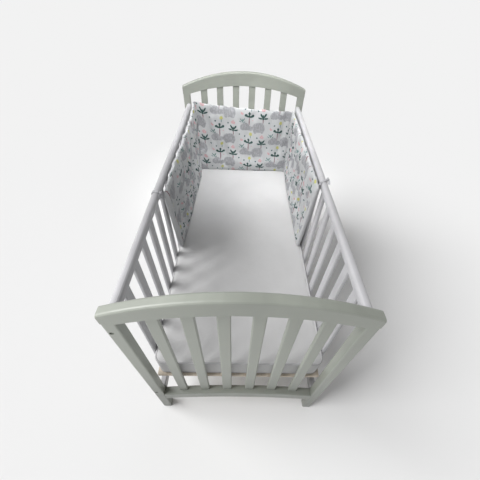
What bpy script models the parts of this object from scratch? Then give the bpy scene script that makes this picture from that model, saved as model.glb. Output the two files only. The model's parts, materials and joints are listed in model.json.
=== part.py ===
"""A padded cot bumper tied round the head half of a plain slatted cot, with the mattress it stands on.

Metres, +Z up. X runs across the cot, +Y points to the head end, and the floor is z = 0 under the middle.
"""

import math
from collections import namedtuple

import bmesh
import bpy
from mathutils import Vector

FIT = 0.0003  # play left where two pieces meet
CLOSE = 0.00001  # two heights this near are the same

# Cot
COT_WIDTH = 0.670
COT_LENGTH = 1.312
END_DEPTH = 0.030
POST_WIDTH = 0.036
END_SLATS = 6
END_SLAT_WIDTH = 0.035
END_SLAT_THICK = 0.012
END_SLAT_PITCH = 0.088
END_SLAT_INSET = 0.014
LOW_RAIL_TOP = 0.228
LOW_RAIL_HEIGHT = 0.056
LOW_RAIL_RISE = 0.036
SIDE_X = 0.308
SIDE_RAIL_WIDTH = 0.026
SIDE_RAIL_TOP = 0.858
SIDE_RAIL_UNDER = 0.828
SIDE_LOW_TOP = 0.215
SIDE_LOW_HEIGHT = 0.045
SIDE_LOW_WIDTH = 0.022
SIDE_SLATS = 14
SIDE_SLAT_WIDTH = 0.034
SIDE_SLAT_THICK = 0.012
BOLT_RADIUS = 0.0065
BOLT_DEPTH = 0.006
BOLT_INSET = 0.012
BOLT_HEIGHTS = (0.777, 0.228)
ARC_STEPS = 16
END_RAIL_ROUND = 0.007
LOW_RAIL_ROUND = 0.003
POST_ROUND = 0.004
SLAT_ROUND = 0.003
SIDE_RAIL_TOP_ROUND = 0.011
SIDE_RAIL_UNDER_ROUND = 0.009
SMOOTH_UNDER = math.radians(35)  # edges sharper than this stay sharp

# Top rail of each end: heights of its upper edge and of its underside, at the posts and in the middle
End = namedtuple("End", "name side top_end top_mid under_end under_mid")
ENDS = (
    End("foot", -1, 0.866, 0.939, 0.828, 0.880),
    End("head", 1, 0.946, 1.023, 0.908, 0.957),
)

# Mattress and the board under it
BOARD_UNDER = 0.335
BOARD_THICK = 0.012
BOARD_ROUND = 0.002
MATTRESS_WIDTH = 0.600
MATTRESS_LENGTH = 1.236
MATTRESS_THICK = 0.100
MATTRESS_CORNER = 0.030
MATTRESS_ROUND = 0.008
MATTRESS_BOTTOM = BOARD_UNDER + BOARD_THICK + FIT
MATTRESS_TOP = MATTRESS_BOTTOM + MATTRESS_THICK

# Bumper
PAD_THICK = 0.025
PAD_SEAM_THICK = 0.007
PAD_SEAM_REACH = 0.045
PAD_CORNER = 0.020
PAD_COLUMNS = 168
PAD_ROWS = 10
PAD_BOTTOM = MATTRESS_TOP + FIT
PAD_SMOOTH_UNDER = math.radians(70)
CREASE_SCALE = 1.3
CREASE_AT_SEAM = 0.25  # share of a crease's depth left at a seam
CREASE_FADE = 0.15  # share of the height over which a crease runs out
INNER_LOFT = 0.45  # how much more the inner face stands out than the outer one
TANGENT_STEP = 0.02  # in station numbers
SLAT_FACE = SIDE_X - SIDE_SLAT_THICK / 2
RAIL_FACE = SIDE_X - SIDE_RAIL_WIDTH / 2
HEAD_FACE = COT_LENGTH / 2 - END_DEPTH
RAIL_CLEAR_Z = SIDE_RAIL_UNDER - 0.043
RAIL_CLEAR_RAMP = 0.060
RAIL_GAP = 0.0028

# Plan of the pad's middle surface, from the left free end round the head to the right free end.
# x_top, y_top, z_top: its upper edge; x_low, y_low: its lower edge; full: share of the filling there
Station = namedtuple("Station", "x_top y_top z_top x_low y_low full")
STATIONS = (
    Station(-0.2865, -0.172, 0.832, -0.287, -0.092, 0.85),
    Station(-0.2865, -0.060, 0.852, -0.285, -0.010, 1.00),
    Station(-0.2865, 0.060, 0.853, -0.282, 0.080, 1.00),
    Station(-0.2860, 0.180, 0.847, -0.279, 0.190, 1.00),
    Station(-0.2850, 0.300, 0.850, -0.275, 0.300, 0.95),
    Station(-0.2855, 0.410, 0.848, -0.270, 0.405, 0.95),
    Station(-0.2860, 0.510, 0.855, -0.268, 0.500, 0.90),
    Station(-0.2840, 0.575, 0.870, -0.272, 0.565, 0.70),
    Station(-0.2720, 0.610, 0.880, -0.264, 0.598, 0.40),
    Station(-0.225, 0.614, 0.866, -0.222, 0.604, 0.75),
    Station(-0.130, 0.612, 0.859, -0.130, 0.604, 1.00),
    Station(-0.020, 0.611, 0.850, -0.020, 0.603, 1.00),
    Station(0.090, 0.612, 0.844, 0.090, 0.603, 1.00),
    Station(0.190, 0.613, 0.839, 0.190, 0.604, 0.95),
    Station(0.245, 0.614, 0.838, 0.245, 0.604, 0.70),
    Station(0.2820, 0.606, 0.842, 0.284, 0.598, 0.35),
    Station(0.2860, 0.560, 0.848, 0.288, 0.555, 0.70),
    Station(0.2865, 0.470, 0.851, 0.287, 0.470, 0.95),
    Station(0.2865, 0.360, 0.854, 0.286, 0.360, 1.00),
    Station(0.2865, 0.240, 0.852, 0.286, 0.245, 1.00),
    Station(0.2865, 0.120, 0.855, 0.286, 0.130, 1.00),
    Station(0.2865, 0.000, 0.853, 0.285, 0.020, 1.00),
    Station(0.2855, -0.128, 0.854, 0.282, -0.072, 0.85),
)

# Creases pressed into the inner face. run: share of the way along the pad; lean: how far the crease
# moves along it from bottom to top; low, high: the part of the height it takes; sink: its depth
Crease = namedtuple("Crease", "run half_width sink lean low high")
CREASES = (
    Crease(0.020, 0.012, 0.004, 0.010, 0.35, 1.05),
    Crease(0.062, 0.020, 0.005, -0.030, 0.10, 1.00),
    Crease(0.105, 0.014, 0.004, 0.040, -0.05, 0.70),
    Crease(0.150, 0.018, 0.006, -0.020, 0.20, 1.05),
    Crease(0.188, 0.013, 0.005, 0.016, -0.05, 1.05),
    Crease(0.215, 0.010, 0.007, -0.010, -0.05, 1.05),
    Crease(0.238, 0.010, 0.008, 0.008, -0.05, 0.90),
    Crease(0.259, 0.009, 0.008, -0.006, 0.10, 1.05),
    Crease(0.279, 0.009, 0.009, 0.005, -0.05, 1.05),
    Crease(0.299, 0.009, 0.008, -0.003, -0.05, 0.95),
    Crease(0.318, 0.008, 0.009, 0.004, -0.05, 1.05),
    Crease(0.337, 0.008, 0.007, 0.000, -0.05, 1.05),
    Crease(0.405, 0.022, 0.003, 0.060, 0.30, 1.05),
    Crease(0.455, 0.018, 0.003, -0.050, -0.05, 0.55),
    Crease(0.520, 0.024, 0.003, 0.070, 0.45, 1.05),
    Crease(0.575, 0.020, 0.003, -0.060, -0.05, 0.60),
    Crease(0.618, 0.016, 0.004, 0.030, 0.20, 1.05),
    Crease(0.662, 0.009, 0.006, -0.004, -0.05, 1.05),
    Crease(0.684, 0.010, 0.006, 0.006, -0.05, 0.95),
    Crease(0.707, 0.010, 0.007, -0.008, 0.05, 1.05),
    Crease(0.731, 0.010, 0.006, 0.008, -0.05, 0.90),
    Crease(0.756, 0.012, 0.005, -0.010, 0.15, 1.05),
    Crease(0.785, 0.012, 0.006, 0.012, -0.05, 0.85),
    Crease(0.818, 0.014, 0.005, -0.020, 0.25, 1.05),
    Crease(0.858, 0.014, 0.005, 0.030, -0.05, 0.80),
    Crease(0.905, 0.018, 0.004, -0.030, 0.20, 1.05),
    Crease(0.955, 0.016, 0.004, 0.030, 0.00, 1.05),
)

# Ties. y, slant: where they go round the rail and how far they slant; knot_angle: the knot's place round
# the rail, 0 at its outer side; root_x, root_z: where the lead leaves the strap; lead_x, lead_y, lead_z:
# where it is sewn to the pad's corner
TIE_WIDTH = 0.014
TIE_THICK = 0.0016
TIE_PLAY = 0.0008
TIE_STEPS = 40
KNOT_RADII = (0.0072, 0.0085, 0.0068)
KNOT_GRIP = 0.0013
KNOT_END_LENGTH = 0.018
KNOT_END_DROP = 0.010
KNOT_END_OUT = 0.003
KNOT_END_WIDTH = 0.009
LEAD_WIDTH = 0.007
TAPE_STEPS = 3
TAPE_SAG = 0.002
TAPE_ROOT = 0.7  # share of the width left where an end leaves the knot or the strap
RAIL_SECTION_POWER = 3.2  # how square the rounded section is that the strap follows
Tie = namedtuple("Tie", "name side y slant knot_angle root_x root_z lead_x lead_y lead_z")
TIES = (
    Tie("tie_left", -1, -0.185, 0.002, 146.0, 0.2935, 0.8330, 0.2865, -0.1682, 0.8100),
    Tie("tie_right", 1, -0.092, 0.006, 55.0, 0.2962, 0.8564, 0.2862, -0.1130, 0.8543),
)


def clear_scene():
    for old in list(bpy.data.objects):
        bpy.data.objects.remove(old, do_unlink=True)


def material(name, color, roughness):
    made = bpy.data.materials.new(name)
    made.use_nodes = True
    shader = made.node_tree.nodes["Principled BSDF"]
    shader.inputs["Base Color"].default_value = (*color, 1.0)
    shader.inputs["Roughness"].default_value = roughness
    shader.inputs["Metallic"].default_value = 0.0
    return made


def finish(bm, name, look, smooth_under=SMOOTH_UNDER):
    """Turns a bmesh into a named object with outward faces."""
    bmesh.ops.recalc_face_normals(bm, faces=bm.faces[:])
    mesh = bpy.data.meshes.new(name)
    bm.to_mesh(mesh)
    bm.free()
    mesh.shade_smooth()
    mesh.set_sharp_from_angle(angle=smooth_under)
    mesh.materials.append(look)
    made = bpy.data.objects.new(name, mesh)
    bpy.context.scene.collection.objects.link(made)
    return made


def extruded(outline, direction):
    """A closed bmesh from a flat outline pushed along direction."""
    bm = bmesh.new()
    face = bm.faces.new([bm.verts.new(point) for point in outline])
    pushed = bmesh.ops.extrude_face_region(bm, geom=[face])
    moved = [item for item in pushed["geom"] if isinstance(item, bmesh.types.BMVert)]
    bmesh.ops.translate(bm, verts=moved, vec=direction)
    return bm


def soften(bm, wanted, width, segments=2):
    """Rounds the edges for which wanted(edge) is true."""
    edges = [edge for edge in bm.edges if wanted(edge)]
    bmesh.ops.bevel(bm, geom=edges, offset=width, segments=segments, profile=0.5, affect="EDGES")


def runs_along(edge, axis):
    way = edge.verts[1].co - edge.verts[0].co
    return abs(way[axis]) > 0.999 * way.length


def block(name, low, high, look, axis, round_width, segments=2):
    """A straight bar or board whose long edges, along axis, are rounded."""
    outline = [
        (low[0], low[1], low[2]),
        (high[0], low[1], low[2]),
        (high[0], high[1], low[2]),
        (low[0], high[1], low[2]),
    ]
    bm = extruded(outline, (0.0, 0.0, high[2] - low[2]))
    soften(bm, lambda edge: runs_along(edge, axis), round_width, segments)
    return finish(bm, name, look)


def hand(side):
    return "left" if side < 0 else "right"


def arc_height(x, at_end, in_middle, half_span):
    return at_end + (in_middle - at_end) * (1.0 - (x / half_span) ** 2)


def even(low, high, steps):
    return [low + (high - low) * step / steps for step in range(steps + 1)]


def frame_y(side, depth_from_outside, thick):
    """The two y values of a layer of an end frame, counted from that end's outer face."""
    outer = side * COT_LENGTH / 2
    return sorted((outer - side * depth_from_outside, outer - side * (depth_from_outside + thick)))


def end_top_rail(end, look):
    """The bowed top rail, with a flat seat over each post."""
    half = COT_WIDTH / 2
    seat = half - POST_WIDTH
    near, far = frame_y(end.side, 0.0, END_DEPTH)
    upper = [(x, arc_height(x, end.top_end, end.top_mid, half)) for x in even(half, -half, ARC_STEPS)]
    lower = [(x, arc_height(x, end.under_end, end.under_mid, seat)) for x in even(-seat, seat, ARC_STEPS)]
    section = upper + [(-half, end.under_end)] + lower + [(half, end.under_end)]
    bm = extruded([(x, near, z) for x, z in section], (0.0, far - near, 0.0))

    def on_top(edge):
        flat = not runs_along(edge, 1)
        high = all(v.co.z > arc_height(v.co.x, end.top_end, end.top_mid, half) - CLOSE for v in edge.verts)
        return flat and high

    soften(bm, on_top, END_RAIL_ROUND, 3)
    return finish(bm, f"{end.name}_top_rail", look)


def low_rail_top(x):
    span = COT_WIDTH / 2 - POST_WIDTH
    return arc_height(x, LOW_RAIL_TOP - LOW_RAIL_RISE, LOW_RAIL_TOP, span)


def end_low_rail(end, look):
    """The bowed bottom rail between the posts."""
    span = COT_WIDTH / 2 - POST_WIDTH - FIT
    near, far = frame_y(end.side, 0.0, END_DEPTH)
    upper = [(x, low_rail_top(x)) for x in even(span, -span, ARC_STEPS)]
    lower = [(x, low_rail_top(x) - LOW_RAIL_HEIGHT) for x in even(-span, span, ARC_STEPS)]
    bm = extruded([(x, near, z) for x, z in upper + lower], (0.0, far - near, 0.0))

    def long_edge(edge):
        return not runs_along(edge, 1) and not runs_along(edge, 2)

    soften(bm, long_edge, LOW_RAIL_ROUND, 1)
    return finish(bm, f"{end.name}_low_rail", look)


def end_post(end, side, look):
    """One corner post, from the floor to the seat under the top rail."""
    outer = side * COT_WIDTH / 2
    left, right = sorted((outer, outer - side * POST_WIDTH))
    near, far = frame_y(end.side, 0.0, END_DEPTH)
    low = (left, near, 0.0)
    high = (right, far, end.under_end - FIT)
    return block(f"{end.name}_post_{hand(side)}", low, high, look, 2, POST_ROUND)


def sink_bolts(post):
    """Cuts the two shallow round bolt recesses into the outer face of a post."""
    for count, height in enumerate(BOLT_HEIGHTS):
        bm = bmesh.new()
        bmesh.ops.create_cone(
            bm, cap_ends=True, segments=16, radius1=BOLT_RADIUS, radius2=BOLT_RADIUS, depth=2 * BOLT_DEPTH
        )
        mesh = bpy.data.meshes.new(f"bolt_cutter_{count}")
        bmesh.ops.recalc_face_normals(bm, faces=bm.faces[:])
        bm.to_mesh(mesh)
        bm.free()
        cutter = bpy.data.objects.new(mesh.name, mesh)
        cutter.location = (-COT_WIDTH / 2 + BOLT_INSET, -COT_LENGTH / 2, height)
        cutter.rotation_euler = (math.radians(90), 0.0, 0.0)
        cutter.hide_render = True
        cutter.display_type = "WIRE"
        bpy.context.scene.collection.objects.link(cutter)
        cut = post.modifiers.new(f"bolt_{count}", "BOOLEAN")
        cut.operation = "DIFFERENCE"
        cut.solver = "EXACT"
        cut.object = cutter


def end_slat(end, index, look):
    """One upright slat, its ends shaped to the bows of the two rails."""
    middle = (index - (END_SLATS - 1) / 2) * END_SLAT_PITCH
    xs = even(middle - END_SLAT_WIDTH / 2, middle + END_SLAT_WIDTH / 2, 2)
    seat = COT_WIDTH / 2 - POST_WIDTH
    near, far = frame_y(end.side, END_SLAT_INSET, END_SLAT_THICK)
    lower = [(x, low_rail_top(x) + FIT) for x in xs]
    upper = [(x, arc_height(x, end.under_end, end.under_mid, seat) - FIT) for x in reversed(xs)]
    bm = extruded([(x, near, z) for x, z in lower + upper], (0.0, far - near, 0.0))
    soften(bm, lambda edge: runs_along(edge, 2), SLAT_ROUND, 1)
    return finish(bm, f"{end.name}_slat_{index + 1}", look)


def side_rail(side, look):
    """The rounded top bar of one long side."""
    span = COT_LENGTH / 2 - END_DEPTH - FIT
    half = SIDE_RAIL_WIDTH / 2
    x = side * SIDE_X
    outline = [
        (x - half, -span, SIDE_RAIL_UNDER),
        (x + half, -span, SIDE_RAIL_UNDER),
        (x + half, -span, SIDE_RAIL_TOP),
        (x - half, -span, SIDE_RAIL_TOP),
    ]
    bm = extruded(outline, (0.0, 2 * span, 0.0))
    above = SIDE_RAIL_TOP - CLOSE
    below = SIDE_RAIL_UNDER + CLOSE
    soften(bm, lambda edge: runs_along(edge, 1) and edge.verts[0].co.z > above, SIDE_RAIL_TOP_ROUND, 4)
    soften(bm, lambda edge: runs_along(edge, 1) and edge.verts[0].co.z < below, SIDE_RAIL_UNDER_ROUND, 3)
    return finish(bm, f"side_{hand(side)}_top_rail", look)


def side_low_rail(side, look):
    span = COT_LENGTH / 2 - END_DEPTH - FIT
    x = side * SIDE_X
    low = (x - SIDE_LOW_WIDTH / 2, -span, SIDE_LOW_TOP - SIDE_LOW_HEIGHT)
    high = (x + SIDE_LOW_WIDTH / 2, span, SIDE_LOW_TOP)
    return block(f"side_{hand(side)}_low_rail", low, high, look, 1, LOW_RAIL_ROUND, 1)


def side_slat(side, index, look):
    span = COT_LENGTH - 2 * END_DEPTH
    gap = (span - SIDE_SLATS * SIDE_SLAT_WIDTH) / (SIDE_SLATS + 1)
    start = -span / 2 + gap + index * (gap + SIDE_SLAT_WIDTH)
    x = side * SIDE_X
    low = (x - SIDE_SLAT_THICK / 2, start, SIDE_LOW_TOP + FIT)
    high = (x + SIDE_SLAT_THICK / 2, start + SIDE_SLAT_WIDTH, SIDE_RAIL_UNDER - FIT)
    return block(f"side_{hand(side)}_slat_{index + 1:02d}", low, high, look, 2, SLAT_ROUND, 1)


def base_board(look):
    """The plain board that carries the mattress between the end frames."""
    half_x = SLAT_FACE - FIT
    half_y = HEAD_FACE - FIT
    low = (-half_x, -half_y, BOARD_UNDER)
    high = (half_x, half_y, BOARD_UNDER + BOARD_THICK)
    return block("mattress_board", low, high, look, 2, BOARD_ROUND, 1)


def mattress(look):
    half_x = MATTRESS_WIDTH / 2
    half_y = MATTRESS_LENGTH / 2
    outline = [
        (-half_x, -half_y, MATTRESS_BOTTOM),
        (half_x, -half_y, MATTRESS_BOTTOM),
        (half_x, half_y, MATTRESS_BOTTOM),
        (-half_x, half_y, MATTRESS_BOTTOM),
    ]
    bm = extruded(outline, (0.0, 0.0, MATTRESS_THICK))
    soften(bm, lambda edge: runs_along(edge, 2), MATTRESS_CORNER, 4)
    soften(bm, lambda edge: not runs_along(edge, 2), MATTRESS_ROUND, 2)
    return finish(bm, "mattress", look)


def spline(values, at):
    """A smooth curve through evenly numbered values, read at the real number at."""
    last = len(values) - 1
    at = min(max(at, 0.0), last)
    i = min(int(at), last - 1)
    u = at - i
    a = values[max(i - 1, 0)]
    b = values[i]
    c = values[i + 1]
    d = values[min(i + 2, last)]
    return b + 0.5 * u * (c - a + u * (2 * a - 5 * b + 4 * c - d + u * (3 * (b - c) + d - a)))


def station_at(at):
    return Station(*(spline([getattr(row, field) for row in STATIONS], at) for field in Station._fields))


def even_columns():
    """Station numbers that part the pad's length evenly, with the length of each from the left end."""
    fine = even(0.0, len(STATIONS) - 1, 40 * (len(STATIONS) - 1))
    lengths = [0.0]
    last = station_at(fine[0])
    for at in fine[1:]:
        here = station_at(at)
        lengths.append(lengths[-1] + math.hypot(here.x_top - last.x_top, here.y_top - last.y_top))
        last = here
    columns = []
    k = 0
    for column in range(PAD_COLUMNS + 1):
        wanted = lengths[-1] * column / PAD_COLUMNS
        while k < len(lengths) - 2 and lengths[k + 1] < wanted:
            k += 1
        share = (wanted - lengths[k]) / (lengths[k + 1] - lengths[k])
        columns.append((fine[k] + share * (fine[k + 1] - fine[k]), wanted))
    return columns, lengths[-1]


def crease_depth(run, height, length):
    """How far the inner face is pressed in by the creases, at a share of the run and of the height."""
    depth = 0.0
    for row in CREASES:
        if not row.low < height < row.high:
            continue
        away = (run - row.run) * length - row.lean * (height - 0.5)
        ends = min(1.0, (height - row.low) / CREASE_FADE, (row.high - height) / CREASE_FADE)
        depth += row.sink * ends * math.exp(-((away / row.half_width) ** 2))
    return depth


def crown(distance, reach):
    """0 at a seam, 1 at reach from it, rising like the side of a cushion."""
    near = min(max(distance / reach, 0.0), 1.0)
    return math.sqrt(near * (2.0 - near))


def kept_clear(point):
    """The pad's outer face lies flat where it meets the slats, the rails and the head frame."""
    under_rail = min(max((RAIL_CLEAR_Z - point.z) / RAIL_CLEAR_RAMP, 0.0), 1.0)
    limit = (RAIL_FACE - RAIL_GAP) * (1.0 - under_rail) + (SLAT_FACE - FIT) * under_rail
    point.x = min(max(point.x, -limit), limit)
    point.y = min(point.y, HEAD_FACE - FIT)
    return point


def pad_point(at, run, length, row, inner):
    """One point of the pad's inner or outer face."""
    share = row / PAD_ROWS
    here = station_at(at)
    before = station_at(at - TANGENT_STEP)
    after = station_at(at + TANGENT_STEP)
    tangent = Vector((after.x_top - before.x_top, after.y_top - before.y_top, 0.0)).normalized()
    inward = Vector((tangent.y, -tangent.x, 0.0))
    end_gap = min(run, length - run)
    cut = PAD_CORNER - math.sqrt(max(PAD_CORNER**2 - max(PAD_CORNER - end_gap, 0.0) ** 2, 0.0))
    z_low = PAD_BOTTOM + (cut if row == 0 else 0.0)
    top = here.z_top - cut
    z = z_low + (top - z_low) * share
    height = (z - PAD_BOTTOM) / (here.z_top - PAD_BOTTOM)
    x = here.x_low + (here.x_top - here.x_low) * height
    y = here.y_low + (here.y_top - here.y_low) * height
    seam_gap = min(z - z_low, top - z)
    fill = crown(seam_gap, 2 * PAD_SEAM_REACH) * crown(end_gap, PAD_SEAM_REACH) * here.full
    half = PAD_SEAM_THICK / 2 + (PAD_THICK - PAD_SEAM_THICK) / 2 * fill
    if inner:
        sink = CREASE_SCALE * crease_depth(run / length, height, length) * min(1.0, CREASE_AT_SEAM + fill)
        return Vector((x, y, z)) + inward * (half + INNER_LOFT * (half - PAD_SEAM_THICK / 2) - sink)
    return kept_clear(Vector((x, y, z)) - inward * half)


def bumper(look):
    """The padded band in one piece: two faces on one grid, joined round their edge."""
    columns, length = even_columns()
    bm = bmesh.new()
    faces = {}
    for inner in (True, False):
        for i, (at, run) in enumerate(columns):
            for row in range(PAD_ROWS + 1):
                faces[inner, i, row] = bm.verts.new(pad_point(at, run, length, row, inner))
    for i in range(PAD_COLUMNS):
        for row in range(PAD_ROWS):
            for inner in (True, False):
                corners = ((i, row), (i + 1, row), (i + 1, row + 1), (i, row + 1))
                bm.faces.new([faces[inner, a, b] for a, b in corners])
        for row in (0, PAD_ROWS):
            bm.faces.new([faces[True, i, row], faces[True, i + 1, row], faces[False, i + 1, row], faces[False, i, row]])
    for i in (0, PAD_COLUMNS):
        for row in range(PAD_ROWS):
            bm.faces.new([faces[True, i, row], faces[True, i, row + 1], faces[False, i, row + 1], faces[False, i, row]])
    return finish(bm, "bumper_pad", look, PAD_SMOOTH_UNDER)


def rail_outline(angle, offset):
    """A point round the side rail's section, seen from its middle at an angle from +X, offset outwards."""
    half_x = SIDE_RAIL_WIDTH / 2 + offset
    half_z = (SIDE_RAIL_TOP - SIDE_RAIL_UNDER) / 2 + offset
    c = math.cos(angle)
    s = math.sin(angle)
    both = abs(c / half_x) ** RAIL_SECTION_POWER + abs(s / half_z) ** RAIL_SECTION_POWER
    reach = both ** (-1 / RAIL_SECTION_POWER)
    return c * reach, s * reach


def knot_place(angle):
    """Middle of a knot that sits on the strap at an angle round the rail."""
    x, z = rail_outline(angle, TIE_PLAY + TIE_THICK)
    half_x = SIDE_RAIL_WIDTH / 2 + TIE_PLAY + TIE_THICK
    half_z = (SIDE_RAIL_TOP - SIDE_RAIL_UNDER) / 2 + TIE_PLAY + TIE_THICK
    out_x = math.copysign(abs(x / half_x) ** (RAIL_SECTION_POWER - 1) / half_x, x)
    out_z = math.copysign(abs(z / half_z) ** (RAIL_SECTION_POWER - 1) / half_z, z)
    reach = (max(KNOT_RADII[0], KNOT_RADII[2]) - KNOT_GRIP) / math.hypot(out_x, out_z)
    return x + out_x * reach, z + out_z * reach


def tie(row, look):
    """A narrow strap round the rail, drawn up in a knot, with the short lead sewn to the pad's corner."""
    middle_z = (SIDE_RAIL_TOP + SIDE_RAIL_UNDER) / 2
    bm = bmesh.new()
    rings = []
    for step in range(TIE_STEPS):
        angle = 2 * math.pi * step / TIE_STEPS
        ring = []
        for offset, across in ((0, -1), (0, 1), (1, 1), (1, -1)):
            x, z = rail_outline(angle, TIE_PLAY + offset * TIE_THICK)
            y = row.y + across * TIE_WIDTH / 2 + row.slant * math.cos(angle)
            ring.append(bm.verts.new((row.side * (SIDE_X + x), y, middle_z + z)))
        rings.append(ring)
    for step in range(TIE_STEPS):
        skin(bm, rings[step], rings[(step + 1) % TIE_STEPS])
    strap = finish(bm, row.name, look)
    angle = math.radians(row.knot_angle)
    x, z = knot_place(angle)
    knot_at = Vector((row.side * (SIDE_X + x), row.y + row.slant * math.cos(angle), middle_z + z))
    join(strap, knot(row, knot_at, look))
    drop = Vector((row.side * KNOT_END_OUT, -KNOT_END_LENGTH, -KNOT_END_DROP))
    join(strap, tongue(f"{row.name}_end_near", knot_at, knot_at + drop, KNOT_END_WIDTH, 2, look))
    drop.y = -drop.y
    if row.side > 0:
        join(strap, tongue(f"{row.name}_end_far", knot_at, knot_at + drop, KNOT_END_WIDTH, 2, look))
    root = Vector((row.side * row.root_x, row.y - row.slant, row.root_z))
    sewn = Vector((row.side * row.lead_x, row.lead_y, row.lead_z))
    wide_axis = 2 if row.side < 0 else 0
    join(strap, tongue(f"{row.name}_lead", root, sewn, LEAD_WIDTH, wide_axis, look))
    return strap


def skin(bm, first, second):
    for k in range(4):
        bm.faces.new([first[k], first[(k + 1) % 4], second[(k + 1) % 4], second[k]])


def knot(row, knot_at, look):
    bm = bmesh.new()
    bmesh.ops.create_icosphere(bm, subdivisions=2, radius=1.0)
    for vert in bm.verts:
        vert.co = Vector([vert.co[axis] * KNOT_RADII[axis] for axis in range(3)]) + knot_at
    return finish(bm, f"{row.name}_knot", look)


def tongue(name, start, stop, width, wide_axis, look):
    """A short flat end of tape from start to stop, wide along one axis and sagging a little."""
    thin_axis = 2 - wide_axis
    bm = bmesh.new()
    rings = []
    for share in even(0.0, 1.0, TAPE_STEPS):
        middle = start.lerp(stop, share)
        middle.z += TAPE_SAG * math.sin(math.pi * share)
        ring = []
        for thin, wide in ((-1, -1), (1, -1), (1, 1), (-1, 1)):
            corner = middle.copy()
            corner[thin_axis] += thin * TIE_THICK / 2
            corner[wide_axis] += wide * width / 2 * (TAPE_ROOT + (1.0 - TAPE_ROOT) * share)
            ring.append(bm.verts.new(corner))
        rings.append(ring)
    for first, second in zip(rings, rings[1:]):
        skin(bm, first, second)
    bm.faces.new(rings[0])
    bm.faces.new(rings[-1])
    return finish(bm, name, look)


def join(body, other):
    """Makes other a part of body's solid."""
    other.hide_render = True
    other.display_type = "WIRE"
    union = body.modifiers.new(other.name, "BOOLEAN")
    union.operation = "UNION"
    union.solver = "EXACT"
    union.object = other


def build():
    clear_scene()
    sage = material("sage_paint", (0.27, 0.31, 0.26), 0.45)
    white = material("white_paint", (0.62, 0.61, 0.64), 0.42)
    board = material("plain_board", (0.55, 0.47, 0.36), 0.60)
    ticking = material("mattress_ticking", (0.72, 0.72, 0.72), 0.85)
    cotton = material("printed_cotton", (0.62, 0.61, 0.64), 0.88)
    tape = material("tie_tape", (0.70, 0.70, 0.72), 0.85)
    for end in ENDS:
        end_top_rail(end, sage)
        end_low_rail(end, sage)
        for side in (-1, 1):
            post = end_post(end, side, sage)
            if end.side < 0 and side < 0:
                sink_bolts(post)
        for index in range(END_SLATS):
            end_slat(end, index, sage)
    for side in (-1, 1):
        side_rail(side, white)
        side_low_rail(side, white)
        for index in range(SIDE_SLATS):
            side_slat(side, index, white)
    base_board(board)
    mattress(ticking)
    bumper(cotton)
    for row in TIES:
        tie(row, tape)


build()
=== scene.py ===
# %% [markdown]
# # A padded bumper tied round the head of a cot
#
# The bumper is a long soft pad that stands on the mattress and lines the head half of a cot.
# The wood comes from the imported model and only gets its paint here. Everything soft is made
# again with real softness: the pad with its folds and its print, the tapes, the mattress.

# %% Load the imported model
import json
import math
from collections import namedtuple

import bpy
import numpy as np
from mathutils import Matrix, Vector

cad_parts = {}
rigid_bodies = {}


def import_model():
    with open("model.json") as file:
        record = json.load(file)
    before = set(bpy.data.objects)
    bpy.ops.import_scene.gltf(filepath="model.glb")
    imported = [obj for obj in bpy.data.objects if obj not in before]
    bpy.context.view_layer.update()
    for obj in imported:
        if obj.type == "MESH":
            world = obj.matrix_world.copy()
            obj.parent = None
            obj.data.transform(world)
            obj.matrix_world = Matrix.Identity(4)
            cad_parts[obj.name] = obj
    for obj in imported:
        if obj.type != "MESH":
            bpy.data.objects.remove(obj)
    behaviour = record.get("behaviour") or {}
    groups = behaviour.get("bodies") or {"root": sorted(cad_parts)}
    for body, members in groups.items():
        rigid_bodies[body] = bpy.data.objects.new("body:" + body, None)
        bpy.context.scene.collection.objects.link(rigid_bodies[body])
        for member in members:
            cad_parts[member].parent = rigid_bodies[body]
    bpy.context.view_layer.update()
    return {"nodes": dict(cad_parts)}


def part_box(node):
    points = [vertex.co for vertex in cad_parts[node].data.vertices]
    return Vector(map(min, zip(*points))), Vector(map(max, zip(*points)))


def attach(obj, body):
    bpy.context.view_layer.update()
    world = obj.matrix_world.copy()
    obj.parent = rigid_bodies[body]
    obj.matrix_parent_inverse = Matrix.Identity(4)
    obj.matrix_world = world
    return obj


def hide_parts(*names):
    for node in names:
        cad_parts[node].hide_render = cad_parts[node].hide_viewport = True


for old in list(bpy.data.objects):
    bpy.data.objects.remove(old, do_unlink=True)
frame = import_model()
nodes = frame["nodes"]


def placed(name, data):
    """Puts a new object into the scene."""
    made = bpy.data.objects.new(name, data)
    bpy.context.scene.collection.objects.link(made)
    return made


# %% [markdown]
# ## Camera
#
# The photo was taken with a wide lens from above the foot end. A camera is a place, a way to
# look and a lens. Its matrix is built here from three angles: down, right and roll. A small
# shift does the rest, as the photo's optical middle isn't quite the middle of the picture.

# %% Camera
CAMERA_AT = Vector((-0.01325, -0.93702, 1.44304))
LOOK_DOWN = math.radians(45.546)
LOOK_RIGHT = math.radians(1.787)
ROLL = math.radians(-2.575)
PICTURE = 480
FOCAL = 267.234
OPTICAL_MIDDLE = (244.386, 230.014)

level_share = math.cos(LOOK_DOWN)
ahead = Vector((math.sin(LOOK_RIGHT) * level_share, math.cos(LOOK_RIGHT) * level_share, -math.sin(LOOK_DOWN)))
level = Vector((math.cos(LOOK_RIGHT), -math.sin(LOOK_RIGHT), 0.0))
down = ahead.cross(level)
rolled_right = level * math.cos(ROLL) + down * math.sin(ROLL)
rolled_down = down * math.cos(ROLL) - level * math.sin(ROLL)

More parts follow.
